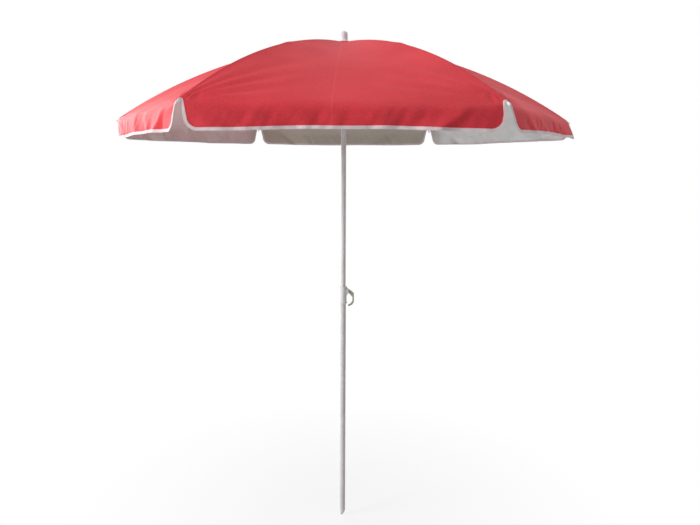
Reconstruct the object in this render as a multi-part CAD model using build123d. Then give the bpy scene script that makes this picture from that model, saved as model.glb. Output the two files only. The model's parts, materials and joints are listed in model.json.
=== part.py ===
from build123d import *
import math
import os

# Beach umbrella: two-part pole with a spike, six curved ribs with stretchers and a sliding runner,
# and a six-panel canopy with a hanging hem. Millimetres, +Z up, origin at the point of the spike.

# Overall layout
RIB_COUNT = 6
HUB_Z = 1897.0
HUB_R = 22.0
TIP_RADIUS = 842.0
RIB_BEND = 1766.0
HUB_SLOPE = 4.41
CLIP_RADIUS = 365.0
COLLAR_BOTTOM_Z = 916.0
COLLAR_HEIGHT = 66.0
SPIKE_HEIGHT = 27.6
FINIAL_HEIGHT = 40.0

# Tubes: the top of the lower one is drawn in under the collar
UPPER_TUBE_R = 9.5
LOWER_TUBE_R = 11.0
TUBE_WALL = 0.8
TUBE_OVERLAP = 300.0
NECK = 0.3

# Fits, and how far a cutting tool runs past the face that it cuts
RUN_CLEAR = 0.05
SLIDE_CLEAR = 0.1
FIXED_CLEAR = 0.01
SIDE_CLEAR = 0.2
OVERCUT = 1.0

# Spike: the plug in the tube, how far its point lies off the axis, and how high each flat rises
SPIKE_PLUG = 45.0
SPIKE_POINT_X = -3.0
SPIKE_FRONT_RISE = 26.0
SPIKE_SIDE_RISE = 18.0
SPIKE_BACK_RISE = 14.0

# Collar with its boss
COLLAR_R = 13.5
COLLAR_FLANGE_R = 15.5
COLLAR_FLANGE = 4.0
COLLAR_SHOULDER = 7.0
COLLAR_ROUND = 0.9
BOSS_LENGTH = 21.0
BOSS_WIDTH = 17.0
BOSS_END_HALF = 7.5
BOSS_ROOT_UP = 13.0
BOSS_ROOT_DOWN = 19.0
BOSS_ROUND = 2.0

# Clamp screw with its hook, and the pad that it presses
SCREW_R = 3.0
SCREW_DROP = 16.0
SCREW_ROOT = 2.0
PAD_R = 3.5
PAD_HOLE_CLEAR = 0.3
HOOK_REACH = 42.5
HOOK_ARM = 6.0
HOOK_WIDTH = 8.0
HOOK_TIP_X = 18.5
HOOK_TIP = 5.0
HOOK_SHOULDER = 12.0
HOOK_SHOULDER_IN = 2.5
HOOK_DROP = 62.0
HOOK_BEND = 16.0
HOOK_BEND_R = 7.0
HOOK_CORNER_R = 2.0
HOOK_ROUND = 1.0

# Spring catch and guide bush of the upper tube
CATCH_GAP = 0.5
CATCH_HEIGHT = 16.0
CATCH_WIDTH = 4.0
CATCH_OUT = 3.0
CATCH_NOSE = 4.0
LEAF = 0.8
LEAF_IN = 1.6
LEAF_LENGTH = 50.0
BUSH_HEIGHT = 40.0
BUSH_END = 4.0

# Hinge ends, crown and runner
PIN_R = 1.5
PIN_LENGTH = 12.0
EYE_R = 3.4
EYE_WIDTH = 4.0
EYE_REACH = 9.0
EYE_LAP = 3.0
HUB_RIM = 5.0
HUB_DISC_HALF = 4.5
HUB_SLOT_IN = 6.5
SLEEVE_WALL = 4.5
CROWN_SLEEVE = 22.0
RUNNER_SLEEVE = 45.0

# Finial: foot, waist, neck and nose
FINIAL_FOOT_R = 18.0
FINIAL_FOOT = 2.0
FINIAL_WAIST_R = 14.0
FINIAL_WAIST = 7.0
FINIAL_NECK_R = 13.4
FINIAL_NECK = 25.0
FINIAL_NOSE_R = 12.8
FINIAL_NOSE = 9.0
FINIAL_CAP = 19.0
FINIAL_GAP = 0.2

# Ribs, stretchers, clips and tips
RIB_ROD_R = 2.5
RIB_FLAT = 4.2
STRETCHER_ROD_R = 2.2
STRETCHER_FLAT = 4.0
CLIP_DROP = 9.0
CLIP_LENGTH = 10.0
CLIP_HALF_WIDTH = 4.2
CLIP_TOP = 1.0
CLIP_BOTTOM = 13.0
CLIP_GAP = 0.8
CLIP_CLEAR = 0.03
RIVET_HEAD_R = 2.4
RIVET_HEAD = 0.8
TIP_CAP_R = 3.5
TIP_CAP_GAP = 1.0
TIP_CAP_SLEEVE = 10.0
TIP_CAP_END = 1.0

# Canopy
FABRIC = 1.5
FABRIC_LIFT = 4.0
FABRIC_START = 34.0
PANEL_SAG = 28.0
START_SAG = 1.0
SEAM_GAP = 0.2
HEM_DEPTH = 86.0
HEM_FLARE = 4.0
HEM_CORNER = 30.0
HEM_SIDE_IN = 8.0
HEM_SIDE_SLANT = 6.0
PATCH_R = 52.0
PATCH_GAP = 0.1

# Values worked out from the sizes above
STEP = 360.0 / RIB_COUNT
HALF = math.radians(STEP / 2)
ARC_R = HUB_R - RIB_BEND * math.sin(math.radians(HUB_SLOPE))
ARC_Z = HUB_Z - RIB_BEND * math.cos(math.radians(HUB_SLOPE))
COLLAR_TOP_Z = COLLAR_BOTTOM_Z + COLLAR_HEIGHT
LOWER_TUBE_TOP = COLLAR_TOP_Z - COLLAR_SHOULDER
LOWER_BORE_R = LOWER_TUBE_R - TUBE_WALL
NECK_R = LOWER_TUBE_R - NECK
SCREW_Z = COLLAR_TOP_Z - SCREW_DROP
UPPER_TUBE_BOTTOM = COLLAR_TOP_Z - TUBE_OVERLAP
PATCH_BOTTOM = HUB_Z + HUB_DISC_HALF + PATCH_GAP
FINIAL_BOTTOM = PATCH_BOTTOM + FABRIC + RUN_CLEAR
FINIAL_TOP = FINIAL_BOTTOM + FINIAL_HEIGHT
UPPER_TUBE_TOP = FINIAL_TOP - FINIAL_CAP
HUB_DISC_R = HUB_R + HUB_RIM
SLOT_INNER_R = HUB_R - HUB_SLOT_IN
SLOT_WIDTH = EYE_WIDTH + 2 * SIDE_CLEAR
SLEEVE_R = UPPER_TUBE_R + SLEEVE_WALL
ON_BASE = (Align.CENTER, Align.CENTER, Align.MIN)


def arc_angle(radius):
    return math.asin((radius - ARC_R) / RIB_BEND)


def arc_point(radius, lift=0.0):
    angle = arc_angle(radius)
    reach = RIB_BEND + lift
    return Vector(ARC_R + reach * math.sin(angle), 0, ARC_Z + reach * math.cos(angle))


def cross_cylinder(centre, radius, length):
    return Pos(centre.X, centre.Y, centre.Z) * Rot(90, 0, 0) * Cylinder(radius, length)


def outward_cylinder(radius, start, length, height):
    return Pos(start, 0, height) * Rot(0, 90, 0) * Cylinder(radius, length, align=ON_BASE)


def bar(start, end, width, height):
    mid = (start + end) * 0.5
    turn = math.degrees(math.atan2(start.Z - end.Z, end.X - start.X))
    return Pos(mid.X, mid.Y, mid.Z) * Rot(0, turn, 0) * Box((end - start).length, width, height)


def rod(start, end, radius):
    along = Plane(origin=start, z_dir=end - start)
    return along * Cylinder(radius, (end - start).length, align=ON_BASE)


def disc(radius, bottom, top):
    return Pos(0, 0, bottom) * Cylinder(radius, top - bottom, align=ON_BASE)


def tube(outer, inner, bottom, top):
    return disc(outer, bottom, top) - disc(inner, bottom, top)


def upright_face(points):
    return make_face(Plane.XZ * Polyline(*points, close=True))


def one_solid(shape):
    solids = shape.solids()
    return solids[0] if len(solids) == 1 else Compound(children=list(solids))


os.makedirs("parts", exist_ok=True)

# Pivots of one rib in its own upright plane: crown, clip and runner.
# The stretcher is as long as the crown-to-clip distance, so the runner stays on the pole as the rib turns.
HUB_PIVOT = Vector(HUB_R, 0, HUB_Z)
CLIP_ANGLE = arc_angle(CLIP_RADIUS)
CLIP_SEAT = arc_point(CLIP_RADIUS)
CLIP_PIVOT = arc_point(CLIP_RADIUS, -CLIP_DROP)
RUNNER_Z = 2 * CLIP_PIVOT.Z - HUB_Z
RUNNER_PIVOT = Vector(HUB_R, 0, RUNNER_Z)

# Lower tube: white painted steel, drawn in a little under the collar, with a hole for the clamp pad.
lower_tube = tube(LOWER_TUBE_R, LOWER_BORE_R, SPIKE_HEIGHT, COLLAR_BOTTOM_Z)
lower_tube = lower_tube + tube(NECK_R, LOWER_BORE_R, COLLAR_BOTTOM_Z, LOWER_TUBE_TOP)
lower_tube = lower_tube - outward_cylinder(PAD_R + PAD_HOLE_CLEAR, UPPER_TUBE_R, LOWER_TUBE_R, SCREW_Z)
export_step(one_solid(lower_tube), "parts/lower_tube.step")

# Ground spike: a moulded plug in the foot of the lower tube, cut by four flats to an off-centre point.
spike = disc(NECK_R, 0, SPIKE_HEIGHT - FIXED_CLEAR)
spike = spike + disc(LOWER_BORE_R - FIXED_CLEAR, SPIKE_HEIGHT - FIXED_CLEAR, SPIKE_HEIGHT + SPIKE_PLUG)
rises = (SPIKE_FRONT_RISE, SPIKE_SIDE_RISE, SPIKE_BACK_RISE, SPIKE_SIDE_RISE)
cutter_size = 4 * SPIKE_HEIGHT
cutter = Box(cutter_size, cutter_size, cutter_size, align=(Align.CENTER, Align.CENTER, Align.MAX))
for quarter, rise in enumerate(rises):
    facing = 90 * quarter
    reach = LOWER_TUBE_R - SPIKE_POINT_X * math.cos(math.radians(facing))
    slope = math.degrees(math.atan2(rise, reach))
    spike = spike - Pos(SPIKE_POINT_X, 0, 0) * Rot(0, 0, facing) * Rot(0, -slope, 0) * cutter
export_step(one_solid(spike), "parts/ground_spike.step")

# Collar: a moulded sleeve over the top of the lower tube, with a flange at each end and a wedge-shaped boss
# on one side that takes the clamp screw.
collar = disc(COLLAR_R, COLLAR_BOTTOM_Z + FIXED_CLEAR, COLLAR_TOP_Z)
collar = collar + disc(COLLAR_FLANGE_R, COLLAR_BOTTOM_Z + FIXED_CLEAR, COLLAR_BOTTOM_Z + COLLAR_FLANGE)
collar = collar + disc(COLLAR_FLANGE_R, COLLAR_TOP_Z - COLLAR_FLANGE, COLLAR_TOP_Z)
collar = fillet(collar.edges().filter_by(GeomType.CIRCLE), COLLAR_ROUND)
boss_side = upright_face(
    [
        (0, SCREW_Z + BOSS_ROOT_UP),
        (COLLAR_R, SCREW_Z + BOSS_ROOT_UP),
        (BOSS_LENGTH, SCREW_Z + BOSS_END_HALF),
        (BOSS_LENGTH, SCREW_Z - BOSS_END_HALF),
        (COLLAR_R, SCREW_Z - BOSS_ROOT_DOWN),
        (0, SCREW_Z - BOSS_ROOT_DOWN),
    ]
)
boss = extrude(boss_side, BOSS_WIDTH / 2, both=True)
boss = fillet(boss.edges().filter_by_position(Axis.X, COLLAR_R - OVERCUT, BOSS_LENGTH), BOSS_ROUND)
collar = collar + boss
collar = collar - disc(NECK_R + FIXED_CLEAR, COLLAR_BOTTOM_Z, LOWER_TUBE_TOP + FIXED_CLEAR)
collar = collar - disc(UPPER_TUBE_R + SLIDE_CLEAR, COLLAR_BOTTOM_Z, COLLAR_TOP_Z)
collar = collar - outward_cylinder(SCREW_R + RUN_CLEAR, 0, BOSS_LENGTH + OVERCUT, SCREW_Z)
export_step(one_solid(collar), "parts/pole_collar.step")

# Clamp pad: a plastic button between the screw and the upper tube.
pad_inner = UPPER_TUBE_R + RUN_CLEAR
pad_outer = math.sqrt(NECK_R**2 - PAD_R**2) - RUN_CLEAR
clamp_pad = outward_cylinder(PAD_R, pad_inner, pad_outer - pad_inner, SCREW_Z)
export_step(one_solid(clamp_pad), "parts/clamp_pad.step")

# Clamp screw with a hook-shaped handle: turning it frees the upper tube, and a bag hangs from the hook.
head_start = BOSS_LENGTH + SIDE_CLEAR
shank_start = pad_outer + RUN_CLEAR
hook_bottom = SCREW_Z - HOOK_DROP
arm_inner = HOOK_REACH - HOOK_ARM
hook_side = upright_face(
    [
        (head_start, SCREW_Z + BOSS_END_HALF),
        (HOOK_REACH - HOOK_SHOULDER_IN, SCREW_Z - HOOK_SHOULDER + 2 * HOOK_SHOULDER_IN),
        (HOOK_REACH, SCREW_Z - HOOK_SHOULDER),
        (HOOK_REACH, hook_bottom + HOOK_BEND),
        (HOOK_REACH - HOOK_BEND / 2, hook_bottom + HOOK_TIP),
        (HOOK_TIP_X + HOOK_CORNER_R, hook_bottom),
        (HOOK_TIP_X, hook_bottom + HOOK_TIP),
        (arm_inner - HOOK_BEND / 2, hook_bottom + 2 * HOOK_TIP),
        (arm_inner, hook_bottom + HOOK_BEND + HOOK_TIP),
        (arm_inner, SCREW_Z - 2 * HOOK_SHOULDER),
        (head_start, SCREW_Z - BOSS_END_HALF),
    ]
)
hook_middle = SCREW_Z - HOOK_DROP / 2
lower_bends = hook_side.vertices().filter_by(lambda spot: spot.X > HOOK_REACH / 2 and spot.Z < hook_middle)
hook_side = fillet(lower_bends, HOOK_BEND_R)
corners = hook_side.vertices().filter_by(lambda spot: spot.X < HOOK_REACH / 2 or spot.Z > hook_middle)
hook_side = fillet(corners, HOOK_CORNER_R)
hook = extrude(hook_side, HOOK_WIDTH / 2, both=True)
hook_faces = hook.faces().sort_by(Axis.Y)
hook = fillet(hook_faces[0].edges() + hook_faces[-1].edges(), HOOK_ROUND)
shank_length = head_start - shank_start + SCREW_ROOT
hook_screw = hook + outward_cylinder(SCREW_R, shank_start, shank_length, SCREW_Z)
export_step(one_solid(hook_screw), "parts/hook_screw.step")

# Upper tube: slides in the lower tube, with a slot for the spring catch below the runner.
catch_top = RUNNER_Z - RUNNER_SLEEVE - CATCH_GAP
catch_bottom = catch_top - CATCH_HEIGHT
upper_tube = tube(UPPER_TUBE_R, UPPER_TUBE_R - TUBE_WALL, UPPER_TUBE_BOTTOM, UPPER_TUBE_TOP)
catch_slot = Box(UPPER_TUBE_R, CATCH_WIDTH + 2 * SIDE_CLEAR, CATCH_HEIGHT + 2 * CATCH_GAP)
catch_place = Rot(0, 0, STEP / 2) * Pos(UPPER_TUBE_R, 0, catch_top - CATCH_HEIGHT / 2)
upper_tube = upper_tube - catch_place * catch_slot
export_step(one_solid(upper_tube), "parts/upper_tube.step")

# Spring catch: a bent leaf inside the tube whose nose stands out under the runner and holds it up.
leaf_r = UPPER_TUBE_R - TUBE_WALL - LEAF_IN
catch_side = upright_face(
    [
        (leaf_r, catch_top),
        (UPPER_TUBE_R + CATCH_OUT, catch_top),
        (UPPER_TUBE_R + CATCH_OUT, catch_top - CATCH_NOSE),
        (leaf_r + LEAF, catch_bottom),
        (leaf_r + LEAF, catch_bottom - LEAF_LENGTH),
        (leaf_r, catch_bottom - LEAF_LENGTH),
    ]
)
runner_catch = Rot(0, 0, STEP / 2) * extrude(catch_side, CATCH_WIDTH / 2, both=True)
export_step(one_solid(runner_catch), "parts/runner_catch.step")

# Guide bush: a plastic sleeve and end cap on the foot of the upper tube, running in the lower tube.
bush_top = UPPER_TUBE_BOTTOM + BUSH_HEIGHT
bush = disc(LOWER_BORE_R - RUN_CLEAR, UPPER_TUBE_BOTTOM - BUSH_END, bush_top)
bush = bush - disc(UPPER_TUBE_R + FIXED_CLEAR, UPPER_TUBE_BOTTOM, bush_top)
export_step(one_solid(bush), "parts/tube_guide_bush.step")


def hinge_disc(pivot_z, bore, sleeve_bottom, sleeve_top):
    body = disc(HUB_DISC_R, pivot_z - HUB_DISC_HALF, pivot_z + HUB_DISC_HALF)
    body = body + disc(SLEEVE_R, sleeve_bottom, sleeve_top)
    body = body - disc(bore, sleeve_bottom, sleeve_top)
    slot = Box(HUB_DISC_R, SLOT_WIDTH, 4 * HUB_DISC_HALF, align=(Align.MIN, Align.CENTER, Align.CENTER))
    hole = cross_cylinder(Vector(HUB_R, 0, 0), PIN_R + FIXED_CLEAR, PIN_LENGTH)
    for place in range(RIB_COUNT):
        turn = Rot(0, 0, place * STEP) * Pos(0, 0, pivot_z)
        body = body - turn * Pos(SLOT_INNER_R, 0, 0) * slot
        body = body - turn * hole
    return body


def hinge_pins(pivot_z):
    pin = cross_cylinder(Vector(HUB_R, 0, pivot_z), PIN_R, PIN_LENGTH)
    return Compound(children=[Rot(0, 0, place * STEP) * pin.solid() for place in range(RIB_COUNT)])


# Crown: the moulded hub at the top of the pole, slotted for six ribs, and its hinge pins.
crown = hinge_disc(HUB_Z, UPPER_TUBE_R + FIXED_CLEAR, HUB_Z - CROWN_SLEEVE, HUB_Z + HUB_DISC_HALF)
export_step(one_solid(crown), "parts/crown.step")
export_step(hinge_pins(HUB_Z), "parts/crown_hinge_pins.step")

# Runner: the sliding hub under the crown, slotted for six stretchers, and its hinge pins.
runner_bore = UPPER_TUBE_R + SLIDE_CLEAR
runner = hinge_disc(RUNNER_Z, runner_bore, RUNNER_Z - RUNNER_SLEEVE, RUNNER_Z + HUB_DISC_HALF)
export_step(one_solid(runner), "parts/runner.step")
export_step(hinge_pins(RUNNER_Z), "parts/runner_hinge_pins.step")

# Patch: the round fabric cap clamped between crown and finial, over the inner ends of the panels.
patch = tube(PATCH_R, UPPER_TUBE_R + SIDE_CLEAR, PATCH_BOTTOM, PATCH_BOTTOM + FABRIC)
export_step(one_solid(patch), "parts/canopy_patch.step")

# Finial: a bullet-shaped cap with a flared foot on the top of the upper tube.
nose_start = (FINIAL_NOSE_R, FINIAL_TOP - FINIAL_NOSE)
with BuildSketch(Plane.XZ) as finial_side:
    with BuildLine():
        Polyline(
            (0, FINIAL_TOP),
            (0, FINIAL_BOTTOM),
            (FINIAL_FOOT_R, FINIAL_BOTTOM),
            (FINIAL_FOOT_R, FINIAL_BOTTOM + FINIAL_FOOT),
            (FINIAL_WAIST_R, FINIAL_BOTTOM + FINIAL_WAIST),
            (FINIAL_NECK_R, FINIAL_BOTTOM + FINIAL_NECK),
            nose_start,
        )
        Spline(nose_start, (0, FINIAL_TOP), tangents=((-0.2, 1), (-1, 0.3)))
    make_face()
finial = revolve(finial_side.sketch, Axis.Z)
finial = finial - disc(UPPER_TUBE_R + FIXED_CLEAR, FINIAL_BOTTOM, UPPER_TUBE_TOP + FINIAL_GAP)
export_step(one_solid(finial), "parts/finial.step")

# Rib: a curved rod with a flattened eye at the crown.
rod_start = HUB_R + EYE_REACH
tip_start = TIP_RADIUS + TIP_CAP_GAP
tip_angle = arc_angle(tip_start)
rib_end = tip_start + (TIP_CAP_SLEEVE - TIP_CAP_END) * math.cos(tip_angle)
start_angle = arc_angle(rod_start)
start_plane = Plane(
    origin=arc_point(rod_start),
    x_dir=(0, 1, 0),
    z_dir=(math.cos(start_angle), 0, -math.sin(start_angle)),
)
rib_sweep = math.degrees(arc_angle(rib_end) - start_angle)
rib = revolve(start_plane * Circle(RIB_ROD_R), Axis((ARC_R, 0, ARC_Z), (0, 1, 0)), rib_sweep)
rib = rib + bar(HUB_PIVOT, arc_point(rod_start + EYE_LAP), EYE_WIDTH, RIB_FLAT)
rib = rib + cross_cylinder(HUB_PIVOT, EYE_R, EYE_WIDTH)
rib = rib - cross_cylinder(HUB_PIVOT, PIN_R + RUN_CLEAR, EYE_WIDTH)

# Rib tip: a white cap on the outer end of the rib that holds the corner of the canopy.
tip_place = Pos(*tuple(arc_point(tip_start))) * Rot(0, 90 + math.degrees(tip_angle), 0)
tip_cap = Cylinder(TIP_CAP_R, TIP_CAP_SLEEVE, align=ON_BASE) + Pos(0, 0, TIP_CAP_SLEEVE) * Sphere(TIP_CAP_R)
tip_cap = tip_cap - Cylinder(RIB_ROD_R + SLIDE_CLEAR, 2 * TIP_CAP_SLEEVE)
tip_cap = tip_place * tip_cap

# Clip: a pressed bracket round the rib, with two cheeks for the stretcher, and its rivet.
clip_height = CLIP_TOP + CLIP_BOTTOM
clip = Pos(0, 0, CLIP_TOP - clip_height / 2) * Box(CLIP_LENGTH, 2 * CLIP_HALF_WIDTH, clip_height)
clip = clip - Rot(0, 90, 0) * Cylinder(RIB_ROD_R + CLIP_CLEAR, CLIP_LENGTH)
cheek_gap = Box(2 * CLIP_LENGTH, SLOT_WIDTH, CLIP_BOTTOM, align=(Align.CENTER, Align.CENTER, Align.MAX))
clip = clip - Pos(0, 0, EYE_R + CLIP_GAP - CLIP_DROP) * cheek_gap
clip = clip - cross_cylinder(Vector(0, 0, -CLIP_DROP), PIN_R + FIXED_CLEAR, 2 * CLIP_HALF_WIDTH)
clip = Pos(CLIP_SEAT.X, 0, CLIP_SEAT.Z) * Rot(0, math.degrees(CLIP_ANGLE), 0) * clip
rivet = cross_cylinder(CLIP_PIVOT, PIN_R, 2 * (CLIP_HALF_WIDTH + RIVET_HEAD))
for side in (-1, 1):
    head_y = side * (CLIP_HALF_WIDTH + FIXED_CLEAR + RIVET_HEAD / 2)
    rivet = rivet + cross_cylinder(CLIP_PIVOT + Vector(0, head_y, 0), RIVET_HEAD_R, RIVET_HEAD)

# Stretcher: a straight rod from the runner to the clip, flattened to an eye at both ends.
along = (CLIP_PIVOT - RUNNER_PIVOT).normalized()
rod_low = RUNNER_PIVOT + along * EYE_REACH
rod_high = CLIP_PIVOT - along * EYE_REACH
stretcher = rod(rod_low, rod_high, STRETCHER_ROD_R)
stretcher = stretcher + bar(RUNNER_PIVOT, rod_low + along * EYE_LAP, EYE_WIDTH, STRETCHER_FLAT)
stretcher = stretcher + bar(rod_high - along * EYE_LAP, CLIP_PIVOT, EYE_WIDTH, STRETCHER_FLAT)
for eye in (RUNNER_PIVOT, CLIP_PIVOT):
    stretcher = stretcher + cross_cylinder(eye, EYE_R, EYE_WIDTH)
    stretcher = stretcher - cross_cylinder(eye, PIN_R + RUN_CLEAR, EYE_WIDTH)

# Canopy sector: the cloth carried by one rib, from the middle of one panel to the middle of the next.
# It runs straight out from the rib to the panel middle, which sags a little, and ends in the hanging hem.
hem_z = arc_point(TIP_RADIUS, FABRIC_LIFT).Z
mid_radius = (FABRIC_START + TIP_RADIUS) / 2


def panel_middle(radius, sag, lift):
    across = radius * math.cos(HALF)
    height = arc_point(radius, FABRIC_LIFT).Z - sag + lift
    x = across * math.cos(HALF) + SEAM_GAP * math.sin(HALF)
    y = across * math.sin(HALF) - SEAM_GAP * math.cos(HALF)
    return Vector(x, y, height)


def strip(low, high):
    bottom = Edge.make_three_point_arc(low[0], low[1], low[2])
    outer = Edge.make_line(low[2], high[2])
    top = Edge.make_three_point_arc(high[2], high[1], high[0])
    inner = Edge.make_line(high[0], low[0])
    return Wire([bottom, outer, top, inner])


stations = (FABRIC_START, mid_radius, TIP_RADIUS)
sags = (START_SAG, PANEL_SAG, 0.0)
ridge_low = [arc_point(radius, FABRIC_LIFT - FABRIC / 2) for radius in stations]
ridge_high = [arc_point(radius, FABRIC_LIFT + FABRIC / 2) for radius in stations]
middle_low = [panel_middle(radius, sag, -FABRIC / 2) for radius, sag in zip(stations, sags)]
middle_high = [panel_middle(radius, sag, FABRIC / 2) for radius, sag in zip(stations, sags)]
half_panel = Solid.make_loft([strip(ridge_low, ridge_high), strip(middle_low, middle_high)], ruled=True)

flare = math.radians(HEM_FLARE)
outward = Vector(math.cos(HALF), math.sin(HALF), 0)
hem_plane = Plane(
    origin=outward * (TIP_RADIUS * math.cos(HALF)) + Vector(0, 0, hem_z),
    x_dir=(math.sin(HALF), -math.cos(HALF), 0),
    z_dir=outward * math.cos(flare) + Vector(0, 0, math.sin(flare)),
)
half_chord = TIP_RADIUS * math.sin(HALF)
side_top = (half_chord - HEM_SIDE_IN, -FABRIC / 2)
side_low = (half_chord - HEM_SIDE_IN - HEM_SIDE_SLANT, HEM_DEPTH - HEM_CORNER)
corner_end = (half_chord - HEM_SIDE_IN - HEM_SIDE_SLANT - HEM_CORNER, HEM_DEPTH)
with BuildSketch() as hem_shape:
    with BuildLine():
        Polyline((SEAM_GAP, HEM_DEPTH), (SEAM_GAP, -FABRIC / 2), side_top, side_low)
        RadiusArc(side_low, corner_end, -HEM_CORNER)
        Line(corner_end, (SEAM_GAP, HEM_DEPTH))
    make_face()
hem = extrude(hem_plane * hem_shape.sketch, FABRIC / 2, both=True)
half_panel = half_panel + hem
sector = half_panel + mirror(half_panel, about=Plane.XZ)

# Six of each, a sixth of a turn apart.
for place in range(RIB_COUNT):
    turn = Rot(0, 0, place * STEP)
    label = str(place + 1)
    export_step(one_solid(turn * rib), "parts/rib_" + label + ".step")
    export_step(one_solid(turn * tip_cap), "parts/rib_tip_" + label + ".step")
    export_step(one_solid(turn * clip), "parts/rib_clip_" + label + ".step")
    export_step(one_solid(turn * rivet), "parts/clip_rivet_" + label + ".step")
    export_step(one_solid(turn * stretcher), "parts/stretcher_" + label + ".step")
    export_step(one_solid(turn * sector), "parts/canopy_sector_" + label + ".step")
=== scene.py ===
import json
import math
import bpy
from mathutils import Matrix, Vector, noise


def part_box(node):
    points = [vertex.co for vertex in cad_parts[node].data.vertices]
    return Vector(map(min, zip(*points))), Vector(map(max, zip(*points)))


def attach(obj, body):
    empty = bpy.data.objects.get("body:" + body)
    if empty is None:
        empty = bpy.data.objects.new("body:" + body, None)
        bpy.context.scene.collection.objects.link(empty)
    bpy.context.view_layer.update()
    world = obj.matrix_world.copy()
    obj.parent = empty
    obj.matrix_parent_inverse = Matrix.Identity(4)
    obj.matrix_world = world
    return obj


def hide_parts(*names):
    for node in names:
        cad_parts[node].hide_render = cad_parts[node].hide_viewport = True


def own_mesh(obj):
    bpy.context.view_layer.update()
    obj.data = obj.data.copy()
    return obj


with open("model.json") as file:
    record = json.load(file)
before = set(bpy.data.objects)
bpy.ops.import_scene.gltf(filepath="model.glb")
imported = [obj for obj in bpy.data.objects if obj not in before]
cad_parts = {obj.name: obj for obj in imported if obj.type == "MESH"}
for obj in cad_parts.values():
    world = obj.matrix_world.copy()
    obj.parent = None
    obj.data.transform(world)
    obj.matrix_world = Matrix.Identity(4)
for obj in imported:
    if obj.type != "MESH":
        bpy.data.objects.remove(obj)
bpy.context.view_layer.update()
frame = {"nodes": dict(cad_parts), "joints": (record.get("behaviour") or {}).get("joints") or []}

# Camera. It stands in front of the middle of one panel, just under the height of the rib tips,
# and looks down along the pole through a wide lens, with a slight lean to one side.
picture_width = 700
lens_in_pixels = 598
sensor_width = 36.0
camera_place = (0.003, -2.310, 1.469)
camera_pitch = math.radians(9.58)
camera_lean = math.radians(-0.3)
camera_turn = math.radians(-0.53)
farthest_view = 200
bpy.ops.object.camera_add(
    location=camera_place,
    rotation=(math.pi / 2 - camera_pitch, camera_lean, camera_turn),
)
camera = bpy.context.object
camera.data.sensor_width = sensor_width
camera.data.lens = sensor_width * lens_in_pixels / picture_width
camera.data.clip_end = farthest_view
bpy.context.scene.camera = camera
bpy.context.scene.view_settings.view_transform = "Standard"


# Lower pole. A steel tube with gloss white paint, baked on after the foot was drawn and the top swaged.
# The paint has a faint orange-peel skin, and handling has dulled it in patches.
coat_gloss = 0.3
skin_strength = 0.25


def new_finish(name):
    material = bpy.data.materials.new(name)
    material.use_nodes = True
    return material, material.node_tree, material.node_tree.nodes["Principled BSDF"]


def object_place(tree):
    return tree.nodes.new("ShaderNodeTexCoord").outputs["Object"]


def noise_on(tree, place, scale, detail):
    texture = tree.nodes.new("ShaderNodeTexNoise")
    texture.inputs["Scale"].default_value = scale
    texture.inputs["Detail"].default_value = detail
    tree.links.new(place, texture.inputs["Vector"])
    return texture.outputs["Fac"]


def ramp_between(tree, source, low, high, start=0.3, end=0.7):
    ramp = tree.nodes.new("ShaderNodeValToRGB")
    ramp.color_ramp.elements[0].position = start
    ramp.color_ramp.elements[0].color = (*low, 1)
    ramp.color_ramp.elements[1].position = end
    ramp.color_ramp.elements[1].color = (*high, 1)
    tree.links.new(source, ramp.inputs["Fac"])
    return ramp.outputs["Color"]


def spread_to(tree, source, low, high, start=0.0, end=1.0):
    spread = tree.nodes.new("ShaderNodeMapRange")
    spread.inputs["From Min"].default_value = start
    spread.inputs["From Max"].default_value = end
    spread.inputs["To Min"].default_value = low
    spread.inputs["To Max"].default_value = high
    tree.links.new(source, spread.inputs["Value"])
    return spread.outputs["Result"]


def bump_from(tree, source, shader, strength, depth):
    bump = tree.nodes.new("ShaderNodeBump")
    bump.inputs["Strength"].default_value = strength
    bump.inputs["Distance"].default_value = depth
    tree.links.new(source, bump.inputs["Height"])
    tree.links.new(bump.outputs["Normal"], shader.inputs["Normal"])


def coated(name, worn, clean, wear_scale, skin_scale, skin_depth, dull, bright):
    material, tree, shader = new_finish(name)
    place = object_place(tree)
    wear = noise_on(tree, place, wear_scale, detail=6)
    skin = noise_on(tree, place, skin_scale, detail=2)
    tree.links.new(ramp_between(tree, wear, worn, clean), shader.inputs["Base Color"])
    tree.links.new(spread_to(tree, wear, dull, bright), shader.inputs["Roughness"])
    shader.inputs["Specular IOR Level"].default_value = coat_gloss
    bump_from(tree, skin, shader, skin_strength, skin_depth)
    return material


def dress(material, *nodes):
    for node in nodes:
        slots = frame["nodes"][node].data.materials
        slots.clear()
        slots.append(material)


tube_paint = coated(
    "tube_paint",
    worn=(0.61, 0.57, 0.575),
    clean=(0.71, 0.67, 0.675),
    wear_scale=14,
    skin_scale=700,
    skin_depth=0.0003,
    dull=0.46,
    bright=0.34,
)
dress(tube_paint, "lower_tube")


# Spike, collar and clamp pad. White moulded plastic with a fine spark-eroded grain:
# the spike plugs the foot of the tube, and the collar is pushed over its top end.
moulded_white = coated(
    "moulded_white",
    worn=(0.7, 0.69, 0.67),
    clean=(0.8, 0.79, 0.77),
    wear_scale=22,
    skin_scale=1500,
    skin_depth=0.0002,
    dull=0.55,
    bright=0.42,
)
dress(moulded_white, "ground_spike", "pole_collar", "clamp_pad")


# Clamp screw. One moulding of cream plastic, with a hook for a handle, that screws into the collar's boss
# and presses the pad on the inner tube. Hands and bag handles have polished it a little.
cream_plastic = coated(
    "cream_plastic",
    worn=(0.34, 0.31, 0.25),
    clean=(0.44, 0.41, 0.34),
    wear_scale=30,
    skin_scale=1200,
    skin_depth=0.0003,
    dull=0.5,
    bright=0.36,
)
dress(cream_plastic, "hook_screw")


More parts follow.
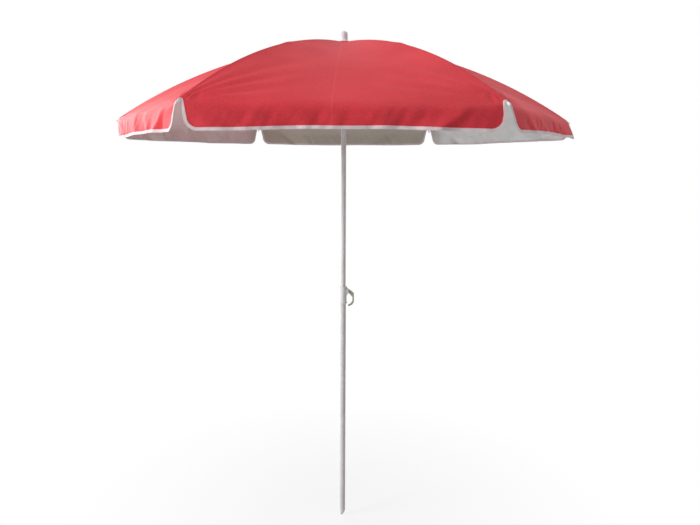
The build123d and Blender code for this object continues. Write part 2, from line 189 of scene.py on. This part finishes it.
# Upper pole. A thinner steel tube in the same paint, with a plastic bush on its foot
# and a bent spring leaf inside that stands out through a slot and holds the runner up.
inner_paint = coated(
    "inner_paint",
    worn=(0.61, 0.575, 0.575),
    clean=(0.71, 0.675, 0.675),
    wear_scale=16,
    skin_scale=700,
    skin_depth=0.0003,
    dull=0.44,
    bright=0.32,
)
dress(inner_paint, "upper_tube")
dress(moulded_white, "tube_guide_bush")
spring_steel = coated(
    "spring_steel",
    worn=(0.36, 0.36, 0.37),
    clean=(0.5, 0.5, 0.51),
    wear_scale=60,
    skin_scale=900,
    skin_depth=0.0001,
    dull=0.4,
    bright=0.25,
)
spring_steel.node_tree.nodes["Principled BSDF"].inputs["Metallic"].default_value = 1.0
dress(spring_steel, "runner_catch")


# Crown, runner and their hinge pins. Slotted hubs of white plastic, moulded in one shot,
# with short steel pins pushed through their cheeks.
hub_white = coated(
    "hub_white",
    worn=(0.68, 0.67, 0.65),
    clean=(0.79, 0.78, 0.76),
    wear_scale=40,
    skin_scale=1300,
    skin_depth=0.0002,
    dull=0.55,
    bright=0.42,
)
dress(hub_white, "crown", "runner")
dress(spring_steel, "crown_hinge_pins", "runner_hinge_pins")


# Finial. A bullet-shaped cap of white plastic with a cool tint, pressed over the top of the tube.
# Its flared foot holds the cloth down on the crown.
finial_white = coated(
    "finial_white",
    worn=(0.66, 0.65, 0.7),
    clean=(0.77, 0.76, 0.82),
    wear_scale=35,
    skin_scale=1400,
    skin_depth=0.0002,
    dull=0.5,
    bright=0.36,
)
dress(finial_white, "finial")


# Ribs, stretchers, clips and rivets. Sprung steel rods with a thin white coat,
# flattened to eyes at their ends, and pressed steel clips closed round the ribs.
rib_count = 6
rib_coat = coated(
    "rib_coat",
    worn=(0.66, 0.66, 0.66),
    clean=(0.77, 0.77, 0.765),
    wear_scale=45,
    skin_scale=1000,
    skin_depth=0.0002,
    dull=0.45,
    bright=0.3,
)
for number in range(1, rib_count + 1):
    dress(rib_coat, f"rib_{number}", f"stretcher_{number}", f"rib_clip_{number}")
    dress(spring_steel, f"clip_rivet_{number}")


# Rib tips. White moulded caps with a round nose, pushed on the ends of the ribs.
# The corners of the canopy are hooked over them.
tip_white = coated(
    "tip_white",
    worn=(0.76, 0.75, 0.74),
    clean=(0.84, 0.83, 0.82),
    wear_scale=60,
    skin_scale=1500,
    skin_depth=0.0002,
    dull=0.5,
    bright=0.36,
)
for number in range(1, rib_count + 1):
    dress(tip_white, f"rib_tip_{number}")


# Canopy. Red polyester with a silver coat underneath, cut in six panels that are sewn together over the ribs.
# It is stretched over the rib tips, dips a little between the ribs, and turns down into a hanging hem.
# Each sixth is the cloth that one rib carries, from the middle of one panel to the middle of the next.
half_panel = math.pi / rib_count
fold_joint = next(joint for joint in frame["joints"] if joint["name"] == "canopy_fold")
hub_x, _, hub_z = fold_joint["pos_m"]
rib_bend = 1.766
hub_slope = math.radians(4.41)
cloth_lift = 0.0037
cloth_start = 0.034
cloth_thickness = 0.0007
corner_radius = 0.842
half_chord = corner_radius * math.sin(half_panel)
sharpest_curve = math.radians(50)

# The dip between two ribs, the rounded ridge over a rib, and its lift over the seam and the clip.
panel_sag = 0.026
least_sag = 0.001
seam_round = 0.01
seam_lift = 0.0015
seam_width = 0.009
clip_low, clip_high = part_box("rib_clip_1")
clip_middle = (clip_low.x + clip_high.x) / 2
clip_width = 0.024
clip_lift = 0.0022

# Wrinkles: a slow ripple all over a panel, and creases that run out of the corners.
ripple_rate = 2.2
ripple_step = 5.7
ripple_start = 1.3
panel_ripple = 0.004
ripple_rows = 3
pull_depth = 0.0075
pull_folds = 16
pull_reach = 0.24
pull_start = 0.05
least_pull = 0.0001

# The hem: how far it hangs, how far it flares at each rib, how its corners are cut and sway, and how the cloth
# turns down into it. It has three flutters, each with a depth, a rate, a start, a drift and a lean,
# and a pleat beside each rib.
hem_depth = 0.077
hem_flares = [math.radians(flare) for flare in (27, 8, 4, 1, 6, 14)]
hem_sways = {(5, -1): 0.017, (4, 1): 0.006, (4, -1): -0.006}
hem_corner = 0.034
hem_gap = 0.008
hem_slant = 0.009
side_top = half_chord - hem_gap
side_low = side_top - hem_slant
rim_slope = 0.75
rim_slope_less = 0.16
turn_at_rib = 0.012
turn_between = 0.036
turn_slack = 0.15
turn_steps = 12
flutters = (
    (0.012, 1.4, 4.5, 0.0, 0.4),
    (0.008, 3.5, 7.5, 0.0, 1.2),
    (0.005, 8, 2.5, 1.0, -2),
)
pleat_at = 0.8
pleat_lean = 0.22
pleat_behind = 0.1
pleat_ahead = 0.035
pleat_depths = {-1: 0.014, 1: 0.004}

# A tuck near the crown lies under the next sixth, and fills the gap between them when the canopy is closed.
tuck_most = 0.03
tuck_reach = 0.28
tuck_widening = 0.8
tuck_slope = 0.25

# How finely the cloth is divided, and how narrow it folds. The last row of the hem is as wide as its tape.
panel_rows = 60
hem_rows = 14
hem_steps = 44
gap_steps = 3
side_steps = 6
corner_steps = 10
tuck_steps = 4
tape_width = 0.008
merge_distance = 0.000005


def ridge_height(radius):
    sine = (radius - hub_x) / rib_bend + math.sin(hub_slope)
    return hub_z + cloth_lift + rib_bend * (math.sqrt(1 - sine * sine) - math.cos(hub_slope))


def sag_at(radius):
    along = (radius - cloth_start) / (corner_radius - cloth_start)
    return panel_sag * 4 * along * (1 - along) + least_sag


def eased(share):
    return share * share * (3 - 2 * share)


def panel_axes(rib, side):
    middle = 2 * math.pi * rib / rib_count + side * half_panel
    outward = Vector((math.cos(middle), math.sin(middle), 0))
    across = Vector((math.sin(middle), -math.cos(middle), 0)) * side
    return outward, across


def ripple(rib, side, share, along, lean=0.0):
    panel = rib if side > 0 else (rib - 1) % rib_count
    return noise.noise(Vector((side * share * ripple_rate + lean, panel * ripple_step + ripple_start, along)))


def panel_point(rib, side, radius, share):
    outward, across = panel_axes(rib, side)
    along = (radius - cloth_start) / (corner_radius - cloth_start)
    half_width = radius * math.sin(half_panel)
    beside = (1 - share) * half_width
    rounded = 1 - (math.hypot(beside, seam_round) - seam_round) / half_width
    free = 1 - rounded * rounded
    height = ridge_height(radius) - sag_at(radius) * free
    height += seam_lift * math.exp(-(beside / seam_width) ** 2)
    height += clip_lift * math.exp(-(beside / clip_width) ** 2 - ((radius - clip_middle) / clip_width) ** 2)
    height += panel_ripple * free * along * ripple(rib, side, share, along * ripple_rows)
    from_corner = math.hypot(corner_radius - radius, beside)
    pull = math.atan2(beside, corner_radius - radius + least_pull)
    pulled = share * math.exp(-from_corner / pull_reach) * min(1, from_corner / pull_start)
    height += pull_depth * pulled * math.sin(pull_folds * pull + rib) * math.sin(pull)
    flat = outward * (radius * math.cos(half_panel)) + across * (share * half_width)
    return flat + Vector((0, 0, height))


def hem_point(rib, side, chord, drop):
    outward, across = panel_axes(rib, side)
    share = chord / half_chord
    free = 1 - share**4
    hang = drop / hem_depth

    far_flare = hem_flares[(rib + side) % rib_count]
    flare = far_flare + (hem_flares[rib] - far_flare) * (1 + share) / 2
    start = math.atan(rim_slope - rim_slope_less * (1 - share * share))
    end = math.pi / 2 - flare
    turn = turn_at_rib + turn_between * free
    step_length = (drop + turn_slack * min(drop, turn)) / turn_steps
    out = down = 0.0
    for step in range(turn_steps):
        slope = start + (end - start) * eased(min(1, (step + 0.5) * step_length / turn))
        out += step_length * math.cos(slope)
        down += step_length * math.sin(slope)

    for depth, rate, start_row, drift, lean in flutters:
        out += hang * free * depth * ripple(rib, side, share * rate, start_row + drift * hang, lean * hang)
    pleat = share - pleat_at + pleat_lean * hang
    pleat /= pleat_behind if pleat < 0 else pleat_ahead
    out += hang * free * pleat_depths[side] * math.exp(-pleat * pleat)

    sway = hem_sways.get((rib, side), 0.0) * share**6 * eased(min(1, 2 * hang))
    edge = panel_point(rib, side, corner_radius, share)
    return edge + outward * out + across * sway - Vector((0, 0, down))


def hem_drop(chord):
    if chord >= side_top:
        return 0.0
    if chord >= side_low:
        return (hem_depth - hem_corner) * (side_top - chord) / hem_slant
    reach = max(0, chord - (side_low - hem_corner))
    return hem_depth - hem_corner + math.sqrt(hem_corner**2 - reach**2)


def cloth_flat(side, share, radius, drop):
    return side * (1 - share) * radius * math.sin(half_panel), radius - hub_x + drop


def tucked_point(rib, side, radius, tuck):
    widest = min(tuck_widening * (radius - cloth_start), tuck_most * (1 - radius / tuck_reach))
    width = tuck * max(0, widest)
    share = -width / (radius * math.sin(half_panel))
    spot = panel_point(rib, side, radius, share) - Vector((0, 0, tuck_slope * width))
    return spot, cloth_flat(side, share, radius, 0)


def cloth_columns():
    straight = side_low - hem_corner
    chords = [half_chord - hem_gap * k / gap_steps for k in range(gap_steps + 1)]
    chords += [side_top - hem_slant * k / side_steps for k in range(1, side_steps + 1)]
    for k in range(1, corner_steps + 1):
        chords.append(side_low - hem_corner * (1 - math.cos(math.pi / 2 * k / corner_steps)))
    chords += [straight * (1 - k / hem_steps) for k in range(1, hem_steps + 1)]
    chords += [-k / tuck_steps for k in range(1, tuck_steps + 1)]
    return [(-1, chord) for chord in reversed(chords[1:])] + [(1, chord) for chord in chords]


def shaped_grid(name, wide, high, place):
    bpy.ops.object.select_all(action="DESELECT")
    bpy.ops.mesh.primitive_grid_add(x_subdivisions=wide, y_subdivisions=high, size=2)
    sheet = bpy.context.object
    sheet.name = sheet.data.name = name
    mapped = []
    for vertex in sheet.data.vertices:
        column = round((vertex.co.x + 1) / 2 * wide)
        row = round((vertex.co.y + 1) / 2 * high)
        vertex.co, flat = place(column, row)
        mapped.append(flat)
    layer = sheet.data.uv_layers.active
    for loop in sheet.data.loops:
        layer.data[loop.index].uv = mapped[loop.vertex_index]
    bpy.ops.object.mode_set(mode="EDIT")
    bpy.ops.mesh.select_all(action="SELECT")
    bpy.ops.mesh.remove_doubles(threshold=merge_distance)
    bpy.ops.object.mode_set(mode="OBJECT")
    bpy.ops.object.shade_smooth()
    return sheet


def line_with_silver(cloth):
    cloth.data.materials.append(red_cloth)
    cloth.data.materials.append(silver_coat)
    thicken = cloth.modifiers.new("thickness", "SOLIDIFY")
    thicken.thickness = cloth_thickness
    thicken.offset = -1
    thicken.material_offset = 1
    bpy.ops.object.modifier_apply(modifier=thicken.name)
    bpy.ops.object.shade_smooth_by_angle(angle=sharpest_curve)


def fold_to_rib(piece, rib):
    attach(piece, f"rib_{rib + 1}")
    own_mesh(piece)


def arithmetic(tree, operation, first, second=None):
    node = tree.nodes.new("ShaderNodeMath")
    node.operation = operation
    tree.links.new(first, node.inputs[0])
    if isinstance(second, float):
        node.inputs[1].default_value = second
    elif second is not None:
        tree.links.new(second, node.inputs[1])
    return node.outputs["Value"]


def split_place(tree, place):
    split = tree.nodes.new("ShaderNodeSeparateXYZ")
    tree.links.new(place, split.inputs["Vector"])
    return split.outputs


def threads_along(tree, place, direction, scale):
    wave = tree.nodes.new("ShaderNodeTexWave")
    wave.bands_direction = direction
    wave.inputs["Scale"].default_value = scale
    tree.links.new(place, wave.inputs["Vector"])
    return wave.outputs["Fac"]


def weave_on(tree, scale):
    place = tree.nodes.new("ShaderNodeTexCoord").outputs["UV"]
    warp = threads_along(tree, place, "X", scale)
    weft = threads_along(tree, place, "Y", scale)
    return place, arithmetic(tree, "MULTIPLY", warp, weft)


def stitches(tree, place, from_middle, width, length, share=0.7):
    spot = split_place(tree, place)
    beside = arithmetic(tree, "COMPARE", arithmetic(tree, "ABSOLUTE", spot["X"]), from_middle)
    beside.node.inputs[2].default_value = width
    dashes = arithmetic(tree, "FRACT", arithmetic(tree, "DIVIDE", spot["Y"], length))
    return arithmetic(tree, "MULTIPLY", beside, arithmetic(tree, "LESS_THAN", dashes, share))


def over(tree, under, cover, share):
    mix = tree.nodes.new("ShaderNodeMix")
    mix.data_type = "RGBA"
    tree.links.new(share, mix.inputs["Factor"])
    tree.links.new(under, mix.inputs["A"])
    mix.inputs["B"].default_value = (*cover, 1)
    return mix.outputs["Result"]


# The red side: faded in patches, uneven in the thread, with a painted highlight along one pressed crease down the
# front panel.
weave_scale = 420
seam_stitch = {"from_middle": 0.0045, "width": 0.0006, "length": 0.004}
red_deep = (0.54, 0.031, 0.044)
red_faded = (0.75, 0.052, 0.068)
# A pale red for the painted highlight where the crease catches the light.
red_fold_highlight = (0.75, 0.16, 0.18)
red_thread = (0.36, 0.025, 0.035)
red_gloss = 0.14
fold_highlight_slant = 0.04
fold_highlight_start = -0.07
fold_highlight_width = 0.004
fold_highlight_share = 0.16
red_cloth, tree, shader = new_finish("red_cloth")
sewn_place, weave = weave_on(tree, weave_scale)
place = object_place(tree)
faded = noise_on(tree, place, scale=5, detail=6)
uneven = noise_on(tree, place, scale=240, detail=2)
tone = arithmetic(tree, "MULTIPLY", arithmetic(tree, "ADD", faded, uneven), 0.5)
red = ramp_between(tree, tone, red_deep, red_faded)
# Painted highlight: a thin pale line down the front panel, along the crease.
spot = split_place(tree, place)
slant = arithmetic(tree, "MULTIPLY", spot["Y"], fold_highlight_slant)
aside = arithmetic(tree, "ABSOLUTE", arithmetic(tree, "SUBTRACT", spot["X"], slant))
fold_highlight = spread_to(tree, aside, low=fold_highlight_share, high=0.0, end=fold_highlight_width)
in_front = arithmetic(tree, "LESS_THAN", spot["Y"], fold_highlight_start)
red = over(tree, red, red_fold_highlight, arithmetic(tree, "MULTIPLY", fold_highlight, in_front))
red = over(tree, red, red_thread, stitches(tree, sewn_place, **seam_stitch))
tree.links.new(red, shader.inputs["Base Color"])
tree.links.new(spread_to(tree, faded, low=0.62, high=0.5), shader.inputs["Roughness"])
shader.inputs["Specular IOR Level"].default_value = red_gloss
bump_from(tree, weave, shader, strength=0.3, depth=0.0002)

# The silver side: pink on the left, where light shining through the red cloth is painted, warm at the back, where
# bounced light is painted, with painted shade along old creases.
silver_dull = (0.65, 0.64, 0.635)
silver_bright = (0.76, 0.755, 0.75)
# A pink tone for painted light that shines through the red cloth.
silver_lit_through_red = (0.78, 0.5, 0.49)
# A warm tone for painted light bounced onto the back.
silver_warm_bounce = (0.41, 0.345, 0.275)
# A darker tone for painted shade along the creases.
silver_crease_shade = (0.33, 0.3, 0.29)
silver_thread = (0.3, 0.12, 0.13)
silver_metal = 0.15
crease_scale = 8
crease_height = 1.2
weave_height = 0.1
silver_coat, tree, shader = new_finish("silver_coat")
sewn_place, weave = weave_on(tree, weave_scale)
place = object_place(tree)
mottle = noise_on(tree, place, scale=9, detail=6)
silver = ramp_between(tree, mottle, silver_dull, silver_bright)
spot = split_place(tree, place)
# Painted light: the left side turns pink towards its edge, as if lit through the red cloth.
lit_through_red = spread_to(tree, spot["X"], low=0.0, high=0.8, end=-0.5)
silver = over(tree, silver, silver_lit_through_red, lit_through_red)
# Painted light: the back of the hem turns warm, as if lit by bounced light.
warm_bounce = spread_to(tree, spot["Y"], low=0.0, high=0.85, start=0.66, end=0.74)
silver = over(tree, silver, silver_warm_bounce, warm_bounce)
creases = tree.nodes.new("ShaderNodeTexVoronoi")
creases.feature = "DISTANCE_TO_EDGE"
creases.inputs["Scale"].default_value = crease_scale
tree.links.new(place, creases.inputs["Vector"])
from_crease = creases.outputs["Distance"]
# Painted shade: darker lines along the creases, broken up by noise.
crease_shade = spread_to(tree, from_crease, low=0.36, high=0.0, end=0.03)
breaks = noise_on(tree, place, scale=11, detail=2)
broken = spread_to(tree, breaks, low=0.0, high=1.0, start=0.5, end=0.66)
silver = over(tree, silver, silver_crease_shade, arithmetic(tree, "MULTIPLY", crease_shade, broken))
silver = over(tree, silver, silver_thread, stitches(tree, sewn_place, **seam_stitch))
tree.links.new(silver, shader.inputs["Base Color"])
tree.links.new(spread_to(tree, mottle, low=0.6, high=0.42), shader.inputs["Roughness"])
shader.inputs["Metallic"].default_value = silver_metal
crumple = noise_on(tree, place, scale=55, detail=3)
surface = arithmetic(tree, "ADD", arithmetic(tree, "MULTIPLY", weave, weave_height), crumple)
surface = arithmetic(tree, "ADD", surface, arithmetic(tree, "MULTIPLY", from_crease, crease_height))
bump_from(tree, surface, shader, strength=0.6, depth=0.003)

columns = cloth_columns()
for rib in range(rib_count):

    def cloth_place(column, row):
        side, chord = columns[len(columns) - 1 - column]
        radius = cloth_start + (corner_radius - cloth_start) * min(1, row / panel_rows)
        if chord < 0 and row <= panel_rows:
            return tucked_point(rib, side, radius, -chord)
        chord = max(0, chord)
        share = chord / half_chord
        if row <= panel_rows:
            return panel_point(rib, side, radius, share), cloth_flat(side, share, radius, 0)
        down = (1 - tape_width / hem_depth) * (row - panel_rows) / (hem_rows - 1)
        drop = hem_drop(chord) * (down if row < panel_rows + hem_rows else 1)
        return hem_point(rib, side, chord, drop), cloth_flat(side, share, corner_radius, drop)

    sector = shaped_grid(f"canopy_cloth_{rib + 1}", len(columns) - 1, panel_rows + hem_rows, cloth_place)
    line_with_silver(sector)
    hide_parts(f"canopy_sector_{rib + 1}")
    fold_to_rib(sector, rib)


# Hem binding. White ribbed tape, folded over the cut edge and sewn through, with a pink cast from the red below it.
# It runs along each hem, round its corners, up the gap beside each rib, and over the corner of the canopy
# at the rib tip.
tape_over = 0.0006
tape_under = 0.0013
tape_past = 0.0005
tape_corner_steps = 12
tape_side_steps = 10
tape_tip_steps = 4
tape_taper = 0.7
tape_tip_width = 0.3 * tape_width
tape_sharpest = math.radians(40)
tape_soiled = (0.645, 0.53, 0.555)
tape_clean = (0.775, 0.645, 0.67)
tape_thread = (0.55, 0.53, 0.52)


def tape_edge(rib, side):
    straight = side_low - hem_corner
    round_top = hem_depth - hem_corner
    reach = hem_corner - tape_width
    for k in range(hem_steps):
        chord = straight * k / hem_steps
        yield hem_point(rib, side, chord, hem_depth), hem_point(rib, side, chord, hem_depth - tape_width)
    for k in range(tape_corner_steps + 1):
        turn = math.pi / 2 * k / tape_corner_steps
        sine, cosine = math.sin(turn), math.cos(turn)
        edge = hem_point(rib, side, straight + hem_corner * sine, round_top + hem_corner * cosine)
        yield edge, hem_point(rib, side, straight + reach * sine, round_top + reach * cosine)
    for k in range(1, tape_side_steps + 1):
        up = k / tape_side_steps
        chord = side_low + hem_slant * up
        drop = round_top * (1 - up)
        width = tape_width * (1 - tape_taper * up * up)
        yield hem_point(rib, side, chord, drop), hem_point(rib, side, chord - width, drop)
    for k in range(1, tape_tip_steps + 1):
        up = k / tape_tip_steps
        share = (side_top + hem_gap * up) / half_chord
        inner_share = share - tape_tip_width / half_chord * (1 - up)
        inner = panel_point(rib, side, corner_radius - tape_tip_width, inner_share)
        yield panel_point(rib, side, corner_radius, share), inner


binding_white, tree, shader = new_finish("binding_white")
place = tree.nodes.new("ShaderNodeTexCoord").outputs["UV"]
ribbing = threads_along(tree, place, "Y", scale=250)
soiled = noise_on(tree, object_place(tree), scale=18, detail=5)
white = ramp_between(tree, soiled, tape_soiled, tape_clean)
tape_stitch = stitches(tree, place, from_middle=0.0065, width=0.0005, length=0.0035)
tree.links.new(over(tree, white, tape_thread, tape_stitch), shader.inputs["Base Color"])
tree.links.new(spread_to(tree, soiled, low=0.75, high=0.62), shader.inputs["Roughness"])
bump_from(tree, ribbing, shader, strength=0.4, depth=0.0003)

for rib in range(rib_count):
    path = list(tape_edge(rib, 1))
    path += list(reversed(list(tape_edge(rib, -1))))[1:]
    runs = [0.0]
    for before, after in zip(path, path[1:]):
        runs.append(runs[-1] + (after[0] - before[0]).length)

    def tape_place(column, row):
        edge, inner = path[column]
        before = path[max(0, column - 1)][0]
        after = path[min(len(path) - 1, column + 1)][0]
        face = (inner - edge).cross(after - before).normalized()
        past = (edge - inner).normalized() * tape_past
        inner_top = inner + face * tape_over, (tape_width, runs[column])
        edge_top = edge + past + face * tape_over, (0.0, runs[column])
        edge_under = edge + past - face * tape_under, (0.0, runs[column])
        inner_under = inner - face * tape_under, (tape_width, runs[column])
        return (inner_top, edge_top, edge_under, inner_under, inner_top)[row]

    binding = shaped_grid(f"hem_binding_{rib + 1}", len(path) - 1, 4, tape_place)
    bpy.ops.object.mode_set(mode="EDIT")
    bpy.ops.mesh.select_all(action="SELECT")
    bpy.ops.mesh.fill_holes(sides=4)
    bpy.ops.mesh.normals_make_consistent(inside=False)
    bpy.ops.object.mode_set(mode="OBJECT")
    bpy.ops.object.shade_smooth_by_angle(angle=tape_sharpest)
    binding.data.materials.append(binding_white)
    fold_to_rib(binding, rib)


# Canopy patch. A round of the same red cloth, hemmed, that the finial clamps down on the crown.
# It covers the middle of the canopy, where the six panels come together.
_, patch_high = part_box("canopy_patch")
patch_radius = patch_high.x
patch_hole = 0.0098
patch_edges = 96
patch_rings = 12
bpy.ops.object.select_all(action="DESELECT")
bpy.ops.mesh.primitive_circle_add(
    vertices=patch_edges,
    radius=patch_radius,
    fill_type="NGON",
    location=(0, 0, patch_high.z),
)
patch = bpy.context.object
patch.name = patch.data.name = "canopy_patch_cloth"
bpy.ops.object.transform_apply(location=True, rotation=True, scale=True)
bpy.ops.object.mode_set(mode="EDIT")
bpy.ops.mesh.select_all(action="SELECT")
for _ in range(patch_rings):
    bpy.ops.mesh.inset(thickness=(patch_radius - patch_hole) / patch_rings)
bpy.ops.mesh.delete(type="FACE")
bpy.ops.object.mode_set(mode="OBJECT")
crown_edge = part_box("crown")[1].x
for vertex in patch.data.vertices:
    out = math.hypot(vertex.co.x, vertex.co.y)
    if out > crown_edge:
        from_middle = math.atan2(vertex.co.y, vertex.co.x) % (2 * half_panel) - half_panel
        radius = out * math.cos(from_middle) / math.cos(half_panel)
        share = math.tan(from_middle) / math.tan(half_panel)
        settled = ridge_height(radius) - sag_at(radius) * (1 - share * share) + 2 * cloth_thickness
        over_edge = min(1, (out - crown_edge) / (cloth_start - crown_edge))
        vertex.co.z += (settled - patch_high.z) * eased(over_edge)
layer = patch.data.uv_layers.active
for loop in patch.data.loops:
    x, y, _ = patch.data.vertices[loop.vertex_index].co
    layer.data[loop.index].uv = (patch_radius - math.hypot(x, y), math.atan2(y, x) * patch_radius)
bpy.ops.object.shade_smooth()
line_with_silver(patch)
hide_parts("canopy_patch")
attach(patch, "upper_pole")


# Floor and sky. A plain pale floor under a white sky, as in a simple studio.
# To the eye, and in reflections, both are white, and the floor keeps some of the umbrella's shadow near its foot.
floor_size = 60
floor_tone = (0.7, 0.7, 0.7, 1)
floor_roughness = 0.9
plain_white = (1, 1, 1, 1)
shadow_near = 0.2
shadow_far = 1.2
shadow_veil = 0.82
sky_strength = 0.22


def seen_directly(tree):
    rays = tree.nodes.new("ShaderNodeLightPath").outputs
    seen = arithmetic(tree, "MAXIMUM", rays["Is Camera Ray"], rays["Is Glossy Ray"])
    return arithmetic(tree, "MAXIMUM", seen, rays["Is Transmission Ray"])


def show_instead(tree, plain, white, share, output):
    blend = tree.nodes.new("ShaderNodeMixShader")
    tree.links.new(share, blend.inputs["Fac"])
    tree.links.new(plain, blend.inputs[1])
    tree.links.new(white, blend.inputs[2])
    tree.links.new(blend.outputs["Shader"], tree.nodes[output].inputs["Surface"])


bpy.ops.object.select_all(action="DESELECT")
bpy.ops.mesh.primitive_plane_add(size=floor_size)
floor = bpy.context.object
floor.name = "studio_floor"
floor_white, tree, shader = new_finish("floor_white")
shader.inputs["Base Color"].default_value = floor_tone
shader.inputs["Roughness"].default_value = floor_roughness
glow = tree.nodes.new("ShaderNodeEmission")
glow.inputs["Color"].default_value = plain_white
from_pole = tree.nodes.new("ShaderNodeVectorMath")
from_pole.operation = "LENGTH"
tree.links.new(object_place(tree), from_pole.inputs[0])
veil = spread_to(tree, from_pole.outputs["Value"], low=shadow_veil, high=1.0, start=shadow_near, end=shadow_far)
veil = arithmetic(tree, "MULTIPLY", seen_directly(tree), veil)
show_instead(tree, shader.outputs["BSDF"], glow.outputs["Emission"], veil, "Material Output")
floor.data.materials.append(floor_white)

sky = bpy.data.worlds.new("studio_sky")
bpy.context.scene.world = sky
sky.use_nodes = True
tree = sky.node_tree
lit = tree.nodes["Background"]
lit.inputs["Color"].default_value = plain_white
lit.inputs["Strength"].default_value = sky_strength
white_sky = tree.nodes.new("ShaderNodeBackground")
white_sky.inputs["Color"].default_value = plain_white
show_instead(tree, lit.outputs["Background"], white_sky.outputs["Background"], seen_directly(tree), "World Output")


# Lamps. Four soft boxes: the main one on the left, a wide one overhead, one behind on the left
# that rims the canopy and the pole, and a weak one in front.
def studio_lamp(name, place, aim, size, watts):
    bpy.ops.object.light_add(type="AREA", location=place)
    lamp = bpy.context.object
    lamp.name = name
    lamp.data.size = size
    lamp.data.energy = watts
    lamp.rotation_euler = (Vector(aim) - Vector(place)).to_track_quat("-Z", "Y").to_euler()


studio_lamp("key_lamp", place=(-4.6, -1.8, 2.7), aim=(0, 0, 1.5), size=1.8, watts=220)
studio_lamp("top_lamp", place=(1.2, -1.2, 5.0), aim=(0, 0, 1.7), size=3.0, watts=62)
studio_lamp("rim_lamp", place=(-3.6, 3.5, 2.1), aim=(-0.4, 0, 1.6), size=2.6, watts=130)
studio_lamp("front_lamp", place=(-1.0, -5.0, 1.8), aim=(0, 0, 1.4), size=2.0, watts=10)
